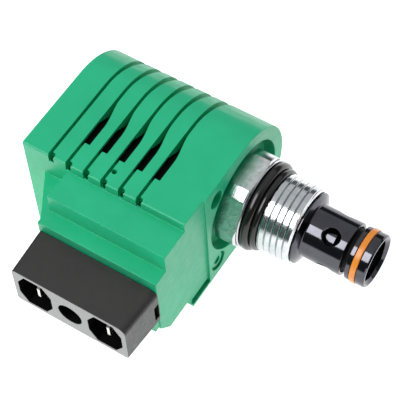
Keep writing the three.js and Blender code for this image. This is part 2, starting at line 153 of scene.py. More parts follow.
def fillet(profile, steps):
    """Rounds the corners of a closed outline. A point is (a, b) or (a, b, radius)."""
    rounded = []
    for i, point in enumerate(profile):
        corner = Vector(point[:2])
        radius = point[2] if len(point) > 2 else 0
        if radius <= 0:
            rounded.append(corner)
            continue
        back = Vector(profile[i - 1][:2]) - corner
        ahead = Vector(profile[(i + 1) % len(profile)][:2]) - corner
        half = back.angle(ahead) / 2
        longest = SHARE_OF_EDGE * min(back.length, ahead.length)
        reach = min(radius / math.tan(half), longest)
        radius = reach * math.tan(half)
        back.normalize()
        ahead.normalize()
        centre = corner + (back + ahead).normalized() * (radius / math.sin(half))
        first = (corner + back * reach - centre).normalized()
        last = (corner + ahead * reach - centre).normalized()
        for k in range(steps + 1):
            rounded.append(centre + first.slerp(last, k / steps) * radius)
    return rounded


def lathe(name, profile, segments=144):
    """A body of revolution about the axis from a closed ring of (x, radius[, fillet])."""
    ring = fillet(profile, LATHE_FILLET_STEPS)
    bm = bmesh.new()
    rows = []
    for k in range(segments):
        c, s = math.cos(TAU * k / segments), math.sin(TAU * k / segments)
        rows.append([bm.verts.new((x, r * c, r * s)) for x, r in ring])
    for k, row in enumerate(rows):
        after = rows[(k + 1) % segments]
        for j in range(len(row)):
            i = (j + 1) % len(row)
            if ring[j][1] < ON_AXIS and ring[i][1] < ON_AXIS:
                continue
            bm.faces.new((row[j], row[i], after[i], after[j]))
    bmesh.ops.remove_doubles(bm, verts=bm.verts, dist=POLE_MERGE)
    bmesh.ops.recalc_face_normals(bm, faces=bm.faces)
    return object_of(name, bm)


AXES = {
    "x": lambda a, b, t: (t, a, b),
    "y": lambda a, b, t: (a, t, b),
    "z": lambda a, b, t: (a, b, t),
}


def prism(name, outline, along, low, high, steps=6):
    """An outline in the plane across an axis, drawn out along that axis from low to high."""
    place = AXES[along]
    bm = bmesh.new()
    ring = fillet(outline, steps)
    bottom = [bm.verts.new(place(a, b, low)) for a, b in ring]
    top = [bm.verts.new(place(a, b, high)) for a, b in ring]
    bm.faces.new(bottom)
    bm.faces.new(top)
    for i in range(len(ring)):
        j = (i + 1) % len(ring)
        bm.faces.new((bottom[i], bottom[j], top[j], top[i]))
    bmesh.ops.recalc_face_normals(bm, faces=bm.faces)
    return object_of(name, bm)


def block(name, x, y, z):
    return prism(name, [(x[0], y[0]), (x[1], y[0]), (x[1], y[1]), (x[0], y[1])], "z", z[0], z[1])


def disc(name, centre, radius, along, low, high, segments=40):
    a, b = centre
    outline = [
        (a + radius * math.cos(TAU * k / segments), b + radius * math.sin(TAU * k / segments))
        for k in range(segments)
    ]
    return prism(name, outline, along, low, high)


def hexagon(name, across, low, high, turn=0):
    corner = across / math.sqrt(3)
    angles = [turn + 60 * k for k in range(6)]
    outline = [
        (corner * math.cos(math.radians(a)), corner * math.sin(math.radians(a))) for a in angles
    ]
    return prism(name, outline, "x", low, high)


def turned_about_axis(obj, degrees):
    obj.data.transform(Matrix.Rotation(math.radians(degrees), 4, "X"))
    return obj


def stood_up(obj, x, y):
    """A body of revolution turned from the valve axis to stand upright at (x, y)."""
    obj.data.transform(Matrix.Translation((x, y, 0)) @ Matrix.Rotation(-TAU / 4, 4, "Y"))
    return obj


def piece(obj, body, looks, replaces=(), smooth=32):
    """Moves a finished shape into the CAD frame, gives it its looks and body, and hides the CAD parts
    it replaces.
    Clearing the materials would reset which face has which look, so that is put back."""
    obj.data.shade_smooth()
    obj.data.set_sharp_from_angle(angle=math.radians(smooth))
    even_shading(obj)
    obj.data.transform(TO_ROW)
    indices = [polygon.material_index for polygon in obj.data.polygons]
    obj.data.materials.clear()
    for look in looks if isinstance(looks, list) else [looks]:
        obj.data.materials.append(look)
    obj.data.polygons.foreach_set("material_index", indices)
    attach(obj, body)
    if replaces:
        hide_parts(*replaces)
    return obj


# ------------------------------------------------------------------ materials
NOISE_ROUGHNESS = 0.55
COAT_ROUGHNESS = 0.12
MIX_FACTOR, MIX_A, MIX_B, MIX_COLOUR = 0, 6, 7, 2  # the Mix node's sockets when it mixes colours


def add(tree, kind, inputs=None, **settings):
    node = tree.nodes.new(kind)
    for key, value in settings.items():
        setattr(node, key, value)
    for key, value in (inputs or {}).items():
        socket = node.inputs[key]
        if isinstance(value, bpy.types.NodeSocket):
            tree.links.new(value, socket)
        else:
            socket.default_value = value
    return node


def noise(tree, scale, detail, stretch=(1, 1, 1)):
    where = add(tree, "ShaderNodeTexCoord").outputs["Object"]
    if stretch != (1, 1, 1):
        where = add(tree, "ShaderNodeMapping", {"Vector": where, "Scale": stretch}).outputs["Vector"]
    made = add(tree, "ShaderNodeTexNoise",
               {"Vector": where, "Scale": scale, "Detail": detail, "Roughness": NOISE_ROUGHNESS})
    return made.outputs["Fac"]


def spread(tree, value, low, high, from_low=0.3, from_high=0.7):
    """A value mapped onto a range. The defaults are where most of a noise lies."""
    made = add(tree, "ShaderNodeMapRange", {
        "Value": value, "From Min": from_low, "From Max": from_high, "To Min": low, "To Max": high,
    })
    return made.outputs["Result"]


def blended(tree, factor, first, second):
    made = add(tree, "ShaderNodeMix", data_type="RGBA")
    tree.links.new(factor, made.inputs[MIX_FACTOR])
    made.inputs[MIX_A].default_value = (*first, 1)
    made.inputs[MIX_B].default_value = (*second, 1)
    return made.outputs[MIX_COLOUR]


def bumped(tree, height, depth_mm, under):
    inputs = {"Height": height, "Distance": depth_mm * MM, "Strength": 1.0}
    if under is not None:
        inputs["Normal"] = under
    return add(tree, "ShaderNodeBump", inputs).outputs["Normal"]


def look(name, colours, roughness, metallic=0.0, patches=120.0, grain=(), specular=0.5, coat=0.0):
    """A principled material: two colours in broad patches, a range of roughness, and layers of bump.
    Each layer of grain is (scale per metre, depth in mm, stretch)."""
    material = bpy.data.materials.new(name)
    material.use_nodes = True
    tree = material.node_tree
    shader = tree.nodes["Principled BSDF"]
    shader.inputs["Metallic"].default_value = metallic
    shader.inputs["Specular IOR Level"].default_value = specular
    shader.inputs["Coat Weight"].default_value = coat
    shader.inputs["Coat Roughness"].default_value = COAT_ROUGHNESS
    mottle = noise(tree, patches, 4.0)
    colour = blended(tree, spread(tree, mottle, 0, 1), *colours)
    tree.links.new(colour, shader.inputs["Base Color"])
    tone = noise(tree, patches * 6, 5.0)
    tree.links.new(spread(tree, tone, *roughness), shader.inputs["Roughness"])
    normal = None
    for scale, depth, stretch in grain:
        normal = bumped(tree, noise(tree, scale, 3.0, stretch), depth, normal)
    if normal is not None:
        tree.links.new(normal, shader.inputs["Normal"])
    return material


EVEN = (1, 1, 1)
ROUND = (6, 0.25, 0.25)  # turning marks run round the axis
WOUND = (6, 0.1, 0.1)

GREEN = look(
    "green_plastic", [(0.004, 0.450, 0.210), (0.008, 0.505, 0.242)], (0.33, 0.45),
    patches=90, grain=[(320, 0.05, EVEN), (2600, 0.012, EVEN)],
)
BLACK_PLASTIC = look(
    "black_plastic", [(0.0105, 0.0080, 0.0078), (0.0165, 0.0128, 0.0125)], (0.36, 0.48),
    specular=0.7, patches=150, grain=[(3200, 0.02, EVEN), (700, 0.01, EVEN)],
)
# Painted sheen: the mating face is the shell's black plastic with a lighter base colour that stands in
# for its glare, on top of a real smoother, coated surface.
MATING_FACE = look(
    "mating_face_painted_sheen", [(0.030, 0.029, 0.030), (0.042, 0.041, 0.042)], (0.26, 0.36),
    specular=1.0, coat=0.8, patches=150, grain=[(3200, 0.008, EVEN)],
)
# Painted shade: the cavities are the shell's black plastic made darker and without shine, for the
# shade inside them.
CAVITY = look(
    "connector_cavity_painted_shade", [(0.003, 0.003, 0.003), (0.005, 0.005, 0.005)], (0.6, 0.75),
    specular=0.03, grain=[(3200, 0.02, EVEN)],
)
BOBBIN = look(
    "bobbin_plastic", [(0.02, 0.017, 0.014), (0.035, 0.03, 0.024)], (0.5, 0.65),
    grain=[(2500, 0.02, EVEN)],
)
WINDING = look(
    "copper_winding", [(0.10, 0.028, 0.012), (0.16, 0.05, 0.02)], (0.3, 0.45), metallic=0.6,
    grain=[(900, 0.05, WOUND)],
)
# Near black and matt: the yoke's dark steel, and painted shade on the floor of the gap behind the
# nose.
DARK_STEEL_AND_SHADE = look(
    "dark_steel", [(0.003, 0.003, 0.003), (0.007, 0.006, 0.006)], (0.6, 0.8), specular=0.25,
    grain=[(1800, 0.03, EVEN)],
)
ZINC_CAST = look(
    "zinc_cast", [(0.60, 0.62, 0.63), (0.82, 0.84, 0.85)], (0.14, 0.26), metallic=1.0,
    patches=900, grain=[(1500, 0.05, EVEN), (4600, 0.05, EVEN)],
)
ZINC_TURNED = look(
    "zinc_turned", [(0.54, 0.56, 0.58), (0.68, 0.69, 0.71)], (0.12, 0.22), metallic=1.0,
    patches=500, grain=[(900, 0.022, ROUND), (2600, 0.004, EVEN)],
)
STEEL = look(
    "stainless_steel", [(0.55, 0.55, 0.56), (0.66, 0.66, 0.67)], (0.16, 0.28), metallic=1.0,
    patches=400, grain=[(900, 0.012, ROUND)],
)
TIN = look(
    "tinned_brass", [(0.70, 0.69, 0.66), (0.82, 0.81, 0.78)], (0.2, 0.35), metallic=1.0,
    patches=500, grain=[(1500, 0.01, EVEN)],
)
BLACK_OXIDE = look(
    "black_oxide_steel", [(0.072, 0.071, 0.083), (0.094, 0.092, 0.106)], (0.08, 0.14),
    metallic=1.0, patches=300, grain=[(900, 0.003, ROUND), (420, 0.002, EVEN)],
)
BLACK_RUBBER = look(
    "black_rubber", [(0.008, 0.0065, 0.006), (0.012, 0.010, 0.0095)], (0.14, 0.24),
    patches=300, grain=[(1500, 0.008, EVEN)],
)
ORANGE_SEAL = look(
    "orange_seal", [(0.84, 0.262, 0.026), (0.92, 0.31, 0.038)], (0.22, 0.34),
    patches=300, grain=[(1400, 0.012, EVEN)],
)
SPRING = look(
    "spring_steel", [(0.40, 0.40, 0.41), (0.52, 0.52, 0.53)], (0.2, 0.3), metallic=1.0,
    patches=500, grain=[(1500, 0.01, EVEN)],
)

# ------------------------------------------------------------------ coil housing
COIL_REAR = -43.15
AXIS_HEIGHT = 17.3
END_Y = -22.8
END_CORNER = 0.5
ARC_STEPS = 44
PROUD_X, PANEL_X = 0.3, -0.3  # the front face is proud of the panel beside it
PANEL_Y = -15.4  # the front face steps back from here to the connector side,
PANEL_Z = -16.3  # but for a strip along the resting face
SHOULDER_X, SHOULDER_TOP = -31.1, 14.9
NECK_BOTTOM = -14.0
FLANGE_X, FLANGE_Y, FLANGE_TOP = -31.6, -34.8, 9.6
RECESS_RADIUS, RECESS_FLOOR = 13.9, -2.8
REAR_SINK_RADIUS, REAR_SINK_FLOOR = 8.6, -41.9
BORE_RADIUS = 6.65
EDGE_GROOVE_FLOOR, EDGE_GROOVE_WIDTH = -1.6, 0.9

SLOT_XS = [-35.9 + 4.64 * i for i in range(6)]
SLOT_DEPTH = 2.2
SLOT_END_Y = -22.3
SLOT_END_RADIUS = 0.8
SLOT_END_SHIFT = 0.5  # the holes at the slots' ends sit forward of the slots
WINDOW_DEPTH = 13.8  # height of a window's floor above the axis

UPPER_POCKET, UPPER_POCKET_RADIUS = (-10.9, 12.3), 2.3
LOWER_POCKET, LOWER_POCKET_RADIUS = (-11.6, -12.6), 2.6
BLADE_XS = (-25.0, -6.4)
BLADE_HALF_WAY = (0.7, 2.7)  # half the width and height of the way that a blade passes through


def coil_outline(inset=0.0):
    """The coil's section across the axis: half round on +Y, flat above and below."""
    radius = AXIS_HEIGHT - inset
    outline = [
        (radius * math.cos(a), radius * math.sin(a))
        for a in (math.pi * (k / ARC_STEPS - 0.5) for k in range(ARC_STEPS + 1))
    ]
    return outline + [(END_Y, radius, END_CORNER), (END_Y, -radius)]


def vent_slot(x):
    """One slot across the top, round the round side and back underneath, wider on the round side."""
    rear = [(-0.60, 19), (-0.60, 13), (-0.50, 11), (-0.43, 8.3), (-0.40, 4), (-0.40, SLOT_END_Y)]
    front = [(0.33, SLOT_END_Y), (0.33, 2), (0.40, 4), (0.70, 8.3), (1.0, 11), (1.2, 13), (1.25, 19)]
    slot = prism("slot", [(x + dx, y) for dx, y in rear + front], "z", -PAST_TOP, PAST_TOP)
    return boolean(slot, [prism("slot_floor", coil_outline(SLOT_DEPTH), "x", x - 3, x + 3)])


def vent_window(x, low, high):
    """The slot widens forward: square at the connector end, easing back towards the round side."""
    rear, narrow, front = x - 0.41, x + 0.33, x + 1.59
    square_y, easing_y, easing_length, last_y = -15.8, -10.3, 8.6, -1.7
    outline = [(rear, square_y, 0.15), (front, square_y, 0.15)]
    steps = 14
    for k in range(steps + 1):
        ease = (1 + math.cos(math.pi * k / steps)) / 2
        outline.append((narrow + (front - narrow) * ease, easing_y + easing_length * k / steps))
    outline.append((rear, last_y))
    return prism("window", outline, "z", low, high)


def window_hollow(x, side):
    """Behind a window the housing is hollowed out to a thin skin, thicker towards the round side."""
    deep, skin = 14 * side, 16.6 * side
    outline = [(-16, deep), (-5, deep), (-9.5, skin), (-16, skin)]
    return prism("window_hollow", outline, "x", x - 1.3, x + 1.9)


def dimple():
    """A small round ejector hole in the top face, a little wider at its mouth."""
    ring = [(14.2, 0), (14.2, 0.6), (17.1, 0.6), (17.4, 0.66), (18.2, 0.66), (18.2, 0)]
    return stood_up(lathe("dimple", ring, 32), -20.95, -18.9)


def blade_way(x, y):
    half_width, half_height = BLADE_HALF_WAY
    return block("blade_way", (x - half_width, x + half_width), y, (-half_height, half_height))


def coil_solid():
    """The housing's outside, with the shoulders and the flange that lead to the connector."""
    body = prism("coil_housing_shell", coil_outline(), "x", COIL_REAR, PANEL_X)
    proud = prism("proud_front", coil_outline(), "x", -5, PROUD_X)
    boolean(proud, [block("panel", (-6, 1), (-60, PANEL_Y), (PANEL_Z, PAST_TOP))])
    shoulder = block("shoulder", (SHOULDER_X, PANEL_X), (-30.7, -20), (NECK_BOTTOM, SHOULDER_TOP))
    flange_plan = [
        (PANEL_X, -20), (-38.0, -20), (-38.0, END_Y), (FLANGE_X, -33.6), (FLANGE_X, FLANGE_Y),
        (PANEL_X, FLANGE_Y),
    ]
    flange = prism("flange", flange_plan, "z", NECK_BOTTOM, FLANGE_TOP)
    relief_outline = [(-36, -15), (-31.4, -15), (-31.4, NECK_BOTTOM), (-34.8, -9.8), (-36, -9.8)]
    boolean(flange, [prism("relief", relief_outline, "x", PAST_REAR, 5)])
    lip = block("lip", (FLANGE_X, -0.6), (-36.4, -34), (-9.0, -5.95))
    return boolean(body, [proud, shoulder, flange, lip], "UNION")


def coil_front_details(body):
    groove_top = PANEL_Z + EDGE_GROOVE_WIDTH
    boolean(body, [
        block("edge_groove", (EDGE_GROOVE_FLOOR, 1), (-22.2, PANEL_Y - 0.1), (PANEL_Z, groove_top)),
        disc("recess", (0, 0), RECESS_RADIUS, "x", RECESS_FLOOR, PAST_FRONT, 96),
        disc("rear_sink", (0, 0), REAR_SINK_RADIUS, "x", PAST_REAR, REAR_SINK_FLOOR, 72),
        disc("bore", (0, 0), BORE_RADIUS, "x", PAST_REAR, PAST_FRONT, 72),
        disc("upper_pocket", UPPER_POCKET, UPPER_POCKET_RADIUS, "x", -3.0, PAST_FRONT),
        disc("lower_pocket", LOWER_POCKET, LOWER_POCKET_RADIUS, "x", -0.9, PAST_FRONT),
    ])
    boss = disc("pocket_boss", LOWER_POCKET, 2.05, "x", -1.2, -0.1)
    boolean(boss, [disc("boss_hole", LOWER_POCKET, 1.1, "x", -0.6, 1)])
    rib = block("pocket_rib", (-3.2, -1.0), (-12.9, -8.9), (12.0, 12.6))
    return boolean(body, [rib, boss], "UNION")


def coil_openings():
    """The rooms inside the housing, and the slots and windows that show them."""
    tools = [
        block("yoke_room", (-41.5, -3.7), (-17.8, 4.3), (-14.5, 14.5)),
        disc("winding_room", (0, 0), 12.75, "x", -40.2, -5.0, 72),
        dimple(),
    ]
    tools += [blade_way(x, (-40, -16)) for x in BLADE_XS]
    for i, x in enumerate(SLOT_XS):
        end_x, radius = x + SLOT_END_SHIFT, SLOT_END_RADIUS
        tools.append(vent_slot(x))
        tools.append(disc("slot_end", (end_x, SLOT_END_Y), radius, "z", 15.1, PAST_TOP, 24))
        tools.append(disc("slot_end_deep", (end_x, SLOT_END_Y + 0.6), radius, "z", 11.5, 17, 24))
        if i:
            tools += [vent_window(x, WINDOW_DEPTH, PAST_TOP), vent_window(x, -PAST_TOP, -WINDOW_DEPTH)]
            tools += [window_hollow(x, 1), window_hollow(x, -1)]
    return tools


def coil_housing():
    body = coil_front_details(coil_solid())
    bevel(clean(body), 0.16, 3)
    boolean(body, coil_openings())
    return bevel(clean(body), 0.05, 1, angle=40)


piece(coil_housing(), "coil", GREEN, ["coil_housing"])


# ------------------------------------------------------------------ inside the coil
def yoke():
    loop = block("yoke_strap", (-41.2, -4.0), (-17.5, 4.0), (-14.2, 14.2))
    boolean(loop, [
        block("yoke_inside", (-39.6, -5.6), (-20, 6), (-12.6, 12.6)),
        disc("yoke_bore", (0, 0), 6.7, "x", PAST_REAR, 0, 64),
    ])
    return bevel(clean(loop), 0.25, 3)


piece(yoke(), "coil", DARK_STEEL_AND_SHADE, ["yoke"])

BOBBIN_RING = [
    (-39.2, 6.7), (-39.2, 12.3, 0.3), (-38.3, 12.3, 0.3), (-38.3, 7.7, 0.2), (-6.9, 7.7, 0.2),
    (-6.9, 12.3, 0.3), (-6.0, 12.3, 0.3), (-6.0, 6.7),
]
piece(lathe("bobbin_spool", BOBBIN_RING, 96), "coil", BOBBIN, ["bobbin"])


def winding():
    """The top layer shows its turns as rings."""
    low, high, turns = -38.0, -7.2, 44
    inner, outer, bulge = 8.0, 12.0, 0.3
    pitch = (high - low) / turns
    ring = [(high, inner), (low, inner)]
    for k in range(turns):
        x = low + pitch * k
        ring += [(x + pitch * t, outer + bulge * math.sin(math.pi * t)) for t in (0, 0.25, 0.5, 0.75)]
    ring.append((high, outer))
    return lathe("winding_turns", ring, 96)


piece(winding(), "coil", WINDING, ["winding"])


# ------------------------------------------------------------------ connector
CONNECTOR_X = -15.7
CONNECTOR_Z = 0.8
CONNECTOR_FRONT, CONNECTOR_REAR = -46.6, -34.9
CONNECTOR_HALF, CONNECTOR_HALF_HIGH = 15.0, 6.15
CONNECTOR_DRAFT = 0.045  # the shell is wider at its root by this share
CAVITY_WIDTH, CAVITY_HEIGHT = 8.8, 10.3
CAVITY_CUT_X, CAVITY_CUT_Z = 2.0, 3.1
KEY_HOLE_Z, KEY_HOLE_RADIUS = CONNECTOR_Z - 0.2, 3.1


def octagon(x, z):
    """A connector cavity's outline: a rectangle with its corners cut off."""
    w, h = CAVITY_WIDTH / 2, CAVITY_HEIGHT / 2
    corners = [
        (w - CAVITY_CUT_X, h), (w, h - CAVITY_CUT_Z), (w, CAVITY_CUT_Z - h), (w - CAVITY_CUT_X, -h),
    ]
    corners += [(-a, -b) for a, b in corners]
    return [(x + a, z + b, 0.25) for a, b in corners]


def connector():
    x, z, half, high = CONNECTOR_X, CONNECTOR_Z, CONNECTOR_HALF, CONNECTOR_HALF_HIGH
    front, rear = CONNECTOR_FRONT, CONNECTOR_REAR
    outline = [
        (x - half, z - high, 0.9), (x + half, z - high, 0.9),
        (x + half, z + high, 2.0), (x - half, z + high, 1.1),
    ]
    body = prism("connector_shell", outline, "y", front, rear)
    for vertex in body.data.vertices:
        rootward = (vertex.co.y - front) / (rear - front)
        vertex.co.x += (vertex.co.x - x) * CONNECTOR_DRAFT * rootward
    tools = [disc("key_hole", (x, KEY_HOLE_Z), KEY_HOLE_RADIUS, "y", front - 1, front + 8, 56)]
    for blade_x in BLADE_XS:
        tools.append(prism("cavity", octagon(blade_x, z), "y", front - 1, front + 9.5, 3))
        tools.append(blade_way(blade_x, (-50, -30)))
    for side in (-1, 1):
        low, high_x = sorted((x + side * (half - 1.0), x + side * (half + 3)))
        tools.append(block("latch", (low, high_x), (rear - 1.6, rear - 0.1), (-3.1, 2.1)))
    boolean(body, tools)
    return bevel(clean(body), 0.14, 2)


def connector_faces(obj):
    """The mating face is smoother than the shell and lighter as painted sheen, and the cavities are
    matt and darker as painted shade.
    """
    shell, mating, cavity = 0, 1, 2
    for polygon in obj.data.polygons:
        x, y, z = polygon.center
        beside = min(abs(x - blade_x) for blade_x in BLADE_XS)
        in_cavity = abs(z - CONNECTOR_Z) < 5.4 and beside < 4.6
        in_hole = math.hypot(x - CONNECTOR_X, z - KEY_HOLE_Z) < KEY_HOLE_RADIUS + 0.2
        at_front = y < CONNECTOR_FRONT + 0.2
        # Faces inside the cavities and the key hole take the painted shade.
        if CONNECTOR_FRONT + 0.2 < y < -36.5 and (in_cavity or in_hole):
            polygon.material_index = cavity
        else:
            polygon.material_index = mating if polygon.normal.y < -0.9 and at_front else shell
    return obj


piece(connector_faces(connector()), "coil", [BLACK_PLASTIC, MATING_FACE, CAVITY],
      ["connector_body"])


def terminal_blade(name, x):
    """A flat blade with a tapered tip and a round latch hole."""
    half, tip, root, taper = 2.4, -45.4, -14.2, 0.9
    outline = [(tip, -half + taper, 0.2), (tip + taper, -half), (root, -half), (root, half),
               (tip + taper, half), (tip, half - taper, 0.2)]
    blade = prism(name, outline, "x", x - 0.4, x + 0.4)
    boolean(blade, [disc("blade_hole", (tip + 3.2, 0), 0.6, "x", x - 2, x + 2, 28)])
    return bevel(clean(blade), 0.12, 2)


for number, blade_x in enumerate(BLADE_XS, 1):
    piece(terminal_blade(f"blade_{number}", blade_x), "coil", TIN,
          [f"terminal_blade_{number}"])


# ------------------------------------------------------------------ seals
def round_ring(centre, section, x, steps=28):
    return [
        (x + section * math.cos(TAU * k / steps), centre + section * math.sin(TAU * k / steps))
        for k in range(steps)
    ]


piece(lathe("coil_o_ring", round_ring(8.2, 0.72, -1.9), 120), "coil",
      BLACK_RUBBER, ["coil_seal_ring"])
piece(lathe("port_o_ring_seal", round_ring(9.95, 1.07, 6.45), 144), "cartridge",
      BLACK_RUBBER, ["port_o_ring"])
piece(lathe("port_backup_seal", round_ring(9.45, 0.74, 8.3), 144), "cartridge",
      BLACK_RUBBER, ["port_backup_ring"])
piece(lathe("nut_o_ring", round_ring(7.4, 0.75, -42.8), 120), "coil_nut",
      BLACK_RUBBER, ["nut_seal_ring"])
NOSE_RING = [(31.28, 5.6), (31.28, 6.68, 0.25), (32.72, 6.68, 0.25), (32.72, 5.6)]
piece(lathe("nose_ring", NOSE_RING, 144), "cartridge", ORANGE_SEAL, ["nose_seal_ring"])

# ------------------------------------------------------------------ hex body and port thread
HEX_ACROSS = 22.2
THREAD_PITCH = 1.5875
THREAD_MAJOR = 9.5
THREAD_MINOR = 9.16
THREAD_START = 9.1
THREAD_END = 17.3
THREAD_BORE = 2.2
CHAMFER_SLOPE = 1.6
GROOVE_FLAT, GROOVE_FLANK = 0.03, 0.18  # shares of half a pitch: the groove's bottom and its side


def hex_body():
    ring = [
        (-1.0, 6.5), (-1.0, 11.0), (0.1, 12.03, 0.2), (4.75, 12.03, 0.1), (5.05, 11.5, 0.1),
        (5.05, 6.5),
    ]
    turned = lathe("hex_nut_body", ring, 180)
    boolean(turned, [hexagon("hex_stock", HEX_ACROSS, -1.5, 5.2)], "INTERSECT")
    stem = lathe("stem", [
        (1.5, THREAD_BORE), (1.5, 6.4), (4.6, 6.6), (4.6, 11.0), (5.3, 11.0, 0.15), (5.3, 8.6, 0.2),
        (THREAD_START, 8.6), (THREAD_START, THREAD_BORE),
    ], 180)
    boolean(turned, [stem], "UNION")
    return bevel(clean(turned, flat=0.3), 0.1, 2, angle=12)


def thread_radius(x, angle):
    """Wide flat crests with narrow grooves between them, cut back by a chamfer at each end."""
    phase = (x / THREAD_PITCH - angle / TAU) % 1.0
    rise = min(1.0, max(0.0, (abs(phase - 0.5) * 2 - GROOVE_FLAT) / GROOVE_FLANK))
    radius = THREAD_MINOR + (THREAD_MAJOR - THREAD_MINOR) * rise
    first_end = 9.05 + CHAMFER_SLOPE * (x - THREAD_START)
    last_end = 8.85 + CHAMFER_SLOPE * (THREAD_END - x)
    return min(radius, first_end, last_end)


def port_thread(segments=180, pitch_steps=22):
    """The rows of points follow the helix, so that the edges of the groove stay clean."""
    step = THREAD_PITCH / pitch_steps
    count = math.ceil((THREAD_END - THREAD_START + THREAD_PITCH) / step) + 1
    bm = bmesh.new()
    rows = []
    for k in range(segments + 1):
        angle = TAU * k / segments
        c, s = math.cos(angle), math.sin(angle)
        first = THREAD_START - THREAD_PITCH * (1 - k / segments)
        xs = [min(max(first + step * j, THREAD_START), THREAD_END) for j in range(count)]
        ring = [(x, thread_radius(x, angle)) for x in xs]
        ring += [
            (THREAD_END, 7.6), (THREAD_END - 0.3, 7.3), (10.3, 7.3), (10.3, THREAD_BORE),
            (THREAD_START, THREAD_BORE),
        ]
        rows.append([bm.verts.new((x, r * c, r * s)) for x, r in ring])
    for row, after in zip(rows, rows[1:]):
        for j in range(len(row)):
            i = (j + 1) % len(row)
            bm.faces.new((row[j], row[i], after[i], after[j]))
    bmesh.ops.remove_doubles(bm, verts=bm.verts, dist=SLIVER)
    bmesh.ops.recalc_face_normals(bm, faces=bm.faces)
    return object_of("port_thread", bm)


def zinc_faces(obj):
    """Hex flats keep the rough stock surface, and everything else is turned."""
    cast, turned = 0, 1
    for polygon in obj.data.polygons:
        normal, centre = polygon.normal, polygon.center
        flat = abs(normal.x) < 0.05 and centre.x < 3.25
        distance = normal.y * centre.y + normal.z * centre.z
        polygon.material_index = cast if flat and abs(distance - HEX_ACROSS / 2) < 0.06 else turned
    return obj


piece(zinc_faces(hex_body()), "cartridge", [ZINC_CAST, ZINC_TURNED],
      ["hex_adapter"])
piece(port_thread(), "cartridge", ZINC_TURNED)

# ------------------------------------------------------------------ tube, pole piece and coil nut
TUBE_RING = [(-41.0, 5.65), (-41.0, 6.35, 0.1), (1.3, 6.35, 0.15), (1.3, 5.65)]
piece(lathe("tube", TUBE_RING, 120), "cartridge", STEEL, ["armature_tube"])

POLE_RING = [
    (-47.9, 0), (-47.9, 4.4, 0.15), (-47.4, 4.9, 0.15), (-42.7, 4.9, 0.1), (-42.7, 6.35, 0.15),
    (-41.3, 6.35, 0.15), (-41.3, 5.35), (-27.0, 5.35, 0.2), (-27.0, 2.3), (-30.4, 2.3), (-30.4, 0),
]
piece(lathe("pole_stud", POLE_RING, 120), "cartridge", STEEL, ["pole_piece"])


NUT_ACROSS = 15.0


def coil_nut():
    ring = [
        (-46.9, 5.05), (-46.9, 7.5, 0.1), (-46.2, 8.76, 0.1), (-44.05, 8.76, 0.1),
        (-43.65, 8.3, 0.1), (-43.65, 5.05),
    ]
    nut = lathe("nut", ring, 120)
    boolean(nut, [hexagon("nut_stock", NUT_ACROSS, -48, -43, turn=30)], "INTERSECT")
    return bevel(clean(nut, flat=0.3), 0.1, 2)


piece(coil_nut(), "coil_nut", ZINC_TURNED, ["coil_nut"])


# ------------------------------------------------------------------ cage, poppet and nose
PORT_X = 24.6
FIRST_PORT_ANGLE = 25.8 - 90


def cage():
    ring = [
        (10.6, 4.6), (10.6, 7.0, 0.2), (17.6, 7.0), (17.6, 8.75, 0.1), (17.9, 8.75, 0.15),
        (18.5, 7.4, 0.5), (18.8, 6.5, 0.4), (28.7, 6.5, 0.22), (28.7, 5.7, 0.1), (26.4, 5.7),
        (26.4, 4.6),
    ]
    body = lathe("cage_sleeve", ring, 168)
    drill_ring = [(3.0, 0), (3.0, 2.1), (6.2, 2.1), (6.8, 2.6), (9.0, 2.6), (9.0, 0)]
    for k in range(4):
        drill = stood_up(lathe("port_drill", drill_ring, 56), PORT_X, 0)
        boolean(body, [turned_about_axis(drill, FIRST_PORT_ANGLE + 90 * k)])
    return body


piece(cage(), "cartridge", BLACK_OXIDE, ["cage"], smooth=26)

SEAT_RING = [
    (26.8, 3.2), (26.8, 5.4, 0.2), (28.6, 5.4), (28.75, 4.9, 0.1), (30.05, 4.9), (30.05, 6.52, 0.25),
    (31.15, 6.52, 0.1), (31.15, 5.5, 0.1), (32.85, 5.5, 0.1), (32.85, 6.52, 0.1), (34.62, 6.52, 0.1),
    (35.0, 6.2, 0.06), (35.0, 5.75, 0.06), (34.3, 5.0, 0.2), (31.4, 4.95, 0.2), (30.0, 3.2),
]


def nose_faces(obj):
    """The bottom of the gap behind the nose gets the near black, matt look as painted shade."""
    for polygon in obj.data.polygons:
        x, radius = polygon.center.x, math.hypot(polygon.center.y, polygon.center.z)
        polygon.material_index = 1 if 28.5 < x < 30.1 and 4.6 < radius < 6.0 else 0
    return obj


piece(nose_faces(lathe("nose_seat", SEAT_RING, 168)), "cartridge",
      [BLACK_OXIDE, DARK_STEEL_AND_SHADE], ["seat_piece"])

POPPET_RING = [
    (19.6, 1.65), (19.6, 2.95), (15.0, 2.95, 0.1), (15.0, 4.3, 0.2), (25.2, 4.3, 0.1),
    (27.5, 2.6, 0.1), (27.5, 0), (24.7, 0), (24.7, 1.65),
]
piece(lathe("poppet_body", POPPET_RING, 120), "poppet", BLACK_OXIDE, ["poppet"])
RETAINER_RING = [(10.9, 1.9), (10.9, 4.3, 0.1), (11.9, 4.3, 0.1), (11.9, 1.9)]
piece(lathe("retainer", RETAINER_RING, 96), "cartridge", STEEL, ["spring_retainer"])

ARMATURE_RING = [
    (-16.7, 0), (-16.7, 2.3), (-24.7, 2.3, 0.1), (-24.7, 5.35, 0.3), (-4.4, 5.35, 0.3),
    (-4.4, 1.65, 0.1), (-9.6, 1.65), (-9.6, 0),
]
piece(lathe("armature_plunger", ARMATURE_RING, 96), "armature", STEEL, ["armature"])
PIN_RING = [(-9.3, 0), (-9.3, 1.35, 0.15), (24.2, 1.35, 0.15), (24.2, 0)]
piece(lathe("pin", PIN_RING, 64), "armature", STEEL, ["push_pin"])


